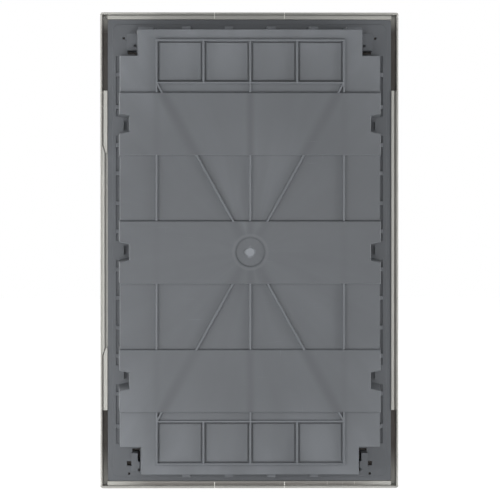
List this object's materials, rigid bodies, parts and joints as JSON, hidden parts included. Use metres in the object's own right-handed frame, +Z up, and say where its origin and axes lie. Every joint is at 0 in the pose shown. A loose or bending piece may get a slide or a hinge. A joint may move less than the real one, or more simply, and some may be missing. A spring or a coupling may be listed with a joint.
{
  "type": "flush-mount distribution board",
  "caption": "Flush-mount distribution board with a ribbed grey wall box, top-hat rails, earth and neutral bars and an off-white cover with a hinged door.",
  "frame": {"origin": "middle of the back wall's outer face, at the mount back_wall", "axes": "+Y out of the back wall, +Z up, +X across; the door faces -Y and hinges on the -X side"},
  "size_m": [0.3002, 0.0989, 0.4788],
  "materials": {
    "box_grey": "matt moulded grain",
    "cover_white": "satin moulded",
    "fitting_grey": "smooth moulded",
    "zinc_steel": "zinc plated",
    "terminal_brass": "plain drawn",
    "earth_green": "smooth moulded",
    "neutral_blue": "smooth moulded",
    "label_white": "printed film"
  },
  "bodies": {
    "board": {"wall_box": "box_grey", "front_cover": "cover_white", "door_catch": "fitting_grey", "din_rail_top": "zinc_steel", "din_rail_middle": "zinc_steel", "din_rail_bottom": "zinc_steel", "rail_screws": "zinc_steel", "strip_screws": "zinc_steel", "earth_screws": "zinc_steel", "neutral_screws": "zinc_steel", "terminal_strip_top": "zinc_steel", "terminal_strip_bottom": "zinc_steel", "hinge_pin_upper": "zinc_steel", "hinge_pin_lower": "zinc_steel", "earth_bar": "terminal_brass", "neutral_bar": "terminal_brass", "earth_holder": "earth_green", "neutral_holder": "neutral_blue", "row_label_1": "label_white", "row_label_2": "label_white", "row_label_3": "label_white"},
    "door": {"door": "cover_white"},
    "fastener_upper_left": {"cover_fastener_upper_left": "fitting_grey"},
    "fastener_upper_right": {"cover_fastener_upper_right": "fitting_grey"},
    "fastener_lower_left": {"cover_fastener_lower_left": "fitting_grey"},
    "fastener_lower_right": {"cover_fastener_lower_right": "fitting_grey"}
  },
  "joints": [
    {"name": "door_hinge", "type": "hinge", "parent": "board", "child": "door", "pos_m": [-0.14712, -0.0936, 0], "axis": [0, 0, -1], "range_deg": [0, 110]},
    {"name": "fastener_upper_left_turn", "type": "hinge", "parent": "board", "child": "fastener_upper_left", "pos_m": [-0.11739, -0.086, 0.20817], "axis": [0, -1, 0], "range_deg": [0, 90]},
    {"name": "fastener_upper_right_turn", "type": "hinge", "parent": "board", "child": "fastener_upper_right", "pos_m": [0.11739, -0.086, 0.20817], "axis": [0, -1, 0], "range_deg": [0, 90]},
    {"name": "fastener_lower_left_turn", "type": "hinge", "parent": "board", "child": "fastener_lower_left", "pos_m": [-0.11472, -0.086, -0.21087], "axis": [0, -1, 0], "range_deg": [0, 90]},
    {"name": "fastener_lower_right_turn", "type": "hinge", "parent": "board", "child": "fastener_lower_right", "pos_m": [0.11472, -0.086, -0.21087], "axis": [0, -1, 0], "range_deg": [0, 90]}
  ]
}
